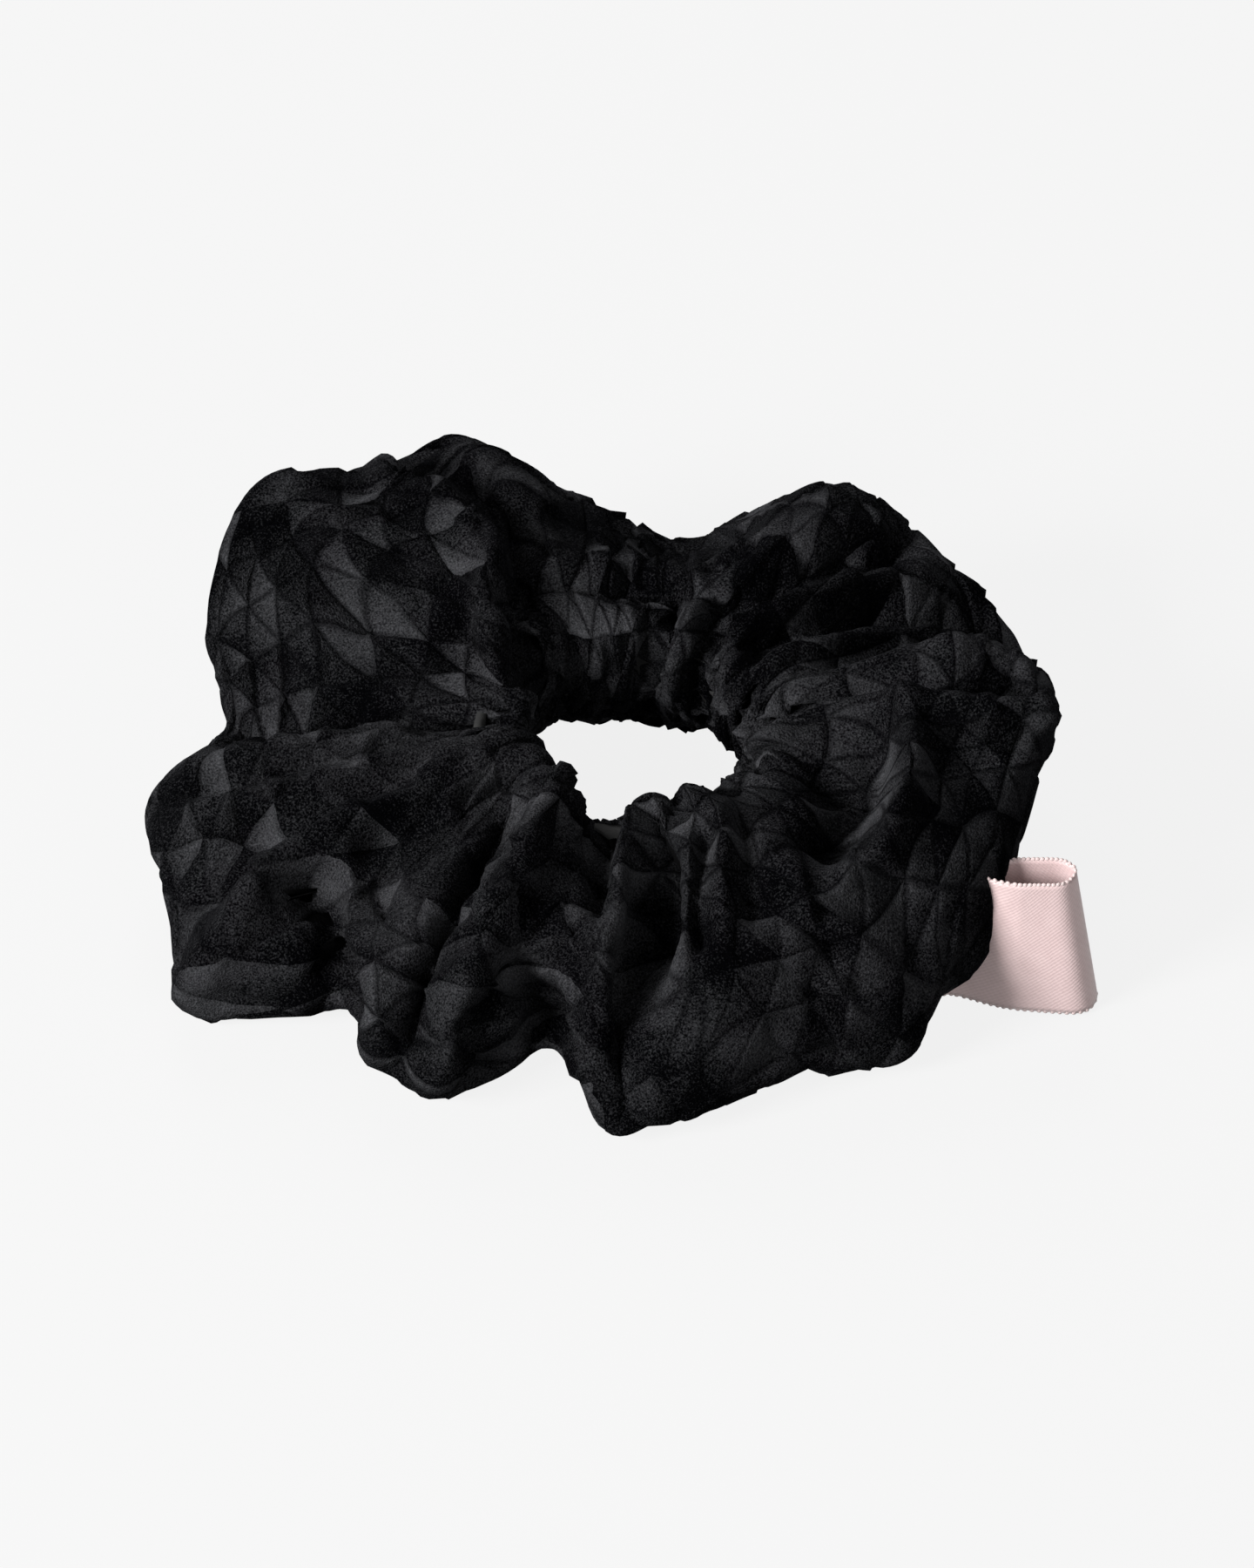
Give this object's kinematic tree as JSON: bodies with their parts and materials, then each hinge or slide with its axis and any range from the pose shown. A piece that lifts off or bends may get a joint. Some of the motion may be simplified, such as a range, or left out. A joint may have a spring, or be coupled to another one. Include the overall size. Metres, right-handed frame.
{
  "type": "scrunchie",
  "caption": "Padded velvet hair scrunchie: a gathered cloth tube on an elastic loop, with a satin ribbon tag caught in its closing seam.",
  "frame": {"origin": "centre of the loop that the hair goes through, halfway up the elastic", "axes": "+Z along the loop's axis, away from the surface it rests on; +X the way the ribbon tag points"},
  "size_m": [0.1164, 0.1042, 0.034],
  "materials": {
    "velvet": "black short-pile velvet with pressed lines",
    "wadding": "black needled wadding",
    "elastic": "black woven elastic",
    "black_thread": "black sewing thread",
    "white_thread": "off-white sewing thread",
    "ribbon": "pale pink satin ribbon with a picot edge"
  },
  "bodies": {
    "left_end": {"velvet_left_end": "velvet", "wadding_left_end": "wadding", "elastic_left_end": "elastic", "seam_thread_left_end": "black_thread"},
    "back_left": {"velvet_back_left": "velvet", "wadding_back_left": "wadding", "elastic_back_left": "elastic", "seam_thread_back_left": "black_thread"},
    "back_right": {"velvet_back_right": "velvet", "wadding_back_right": "wadding", "elastic_back_right": "elastic", "seam_thread_back_right": "black_thread"},
    "right_end": {"velvet_right_end": "velvet", "wadding_right_end": "wadding", "elastic_right_end": "elastic", "seam_thread_right_end": "black_thread", "closing_seam_thread": "black_thread", "elastic_join_thread": "white_thread", "ribbon_tails": "ribbon", "tag_thread": "white_thread"},
    "front_right": {"velvet_front_right": "velvet", "wadding_front_right": "wadding", "elastic_front_right": "elastic", "seam_thread_front_right": "black_thread"},
    "front_left": {"velvet_front_left": "velvet", "wadding_front_left": "wadding", "elastic_front_left": "elastic", "seam_thread_front_left": "black_thread"},
    "tag": {"ribbon_tag": "ribbon"}
  },
  "joints": [
    {"name": "stretch", "type": "slide", "parent": "left_end", "child": "right_end", "axis": [1, 0, 0], "range_m": [0, 0.06], "stiffness_N_per_m": 60},
    {"name": "stretch_back_right", "type": "slide", "parent": "left_end", "child": "back_right", "axis": [1, 0, 0], "range_m": [0, 0.0503]},
    {"name": "stretch_front_right", "type": "slide", "parent": "left_end", "child": "front_right", "axis": [1, 0, 0], "range_m": [0, 0.0388]},
    {"name": "stretch_back_left", "type": "slide", "parent": "left_end", "child": "back_left", "axis": [1, 0, 0], "range_m": [0, 0.0214]},
    {"name": "stretch_front_left", "type": "slide", "parent": "left_end", "child": "front_left", "axis": [1, 0, 0], "range_m": [0, 0.0099]},
    {"name": "tag_swing", "type": "hinge", "parent": "right_end", "child": "tag", "pos_m": [0.04774, -0.026, 0], "axis": [0, 0, 1], "range_deg": [-60, 20]}
  ],
  "couplings": [
    {"joint": "stretch_back_right", "follows": "stretch", "ratio": 0.836},
    {"joint": "stretch_front_right", "follows": "stretch", "ratio": 0.645},
    {"joint": "stretch_back_left", "follows": "stretch", "ratio": 0.355},
    {"joint": "stretch_front_left", "follows": "stretch", "ratio": 0.164}
  ]
}
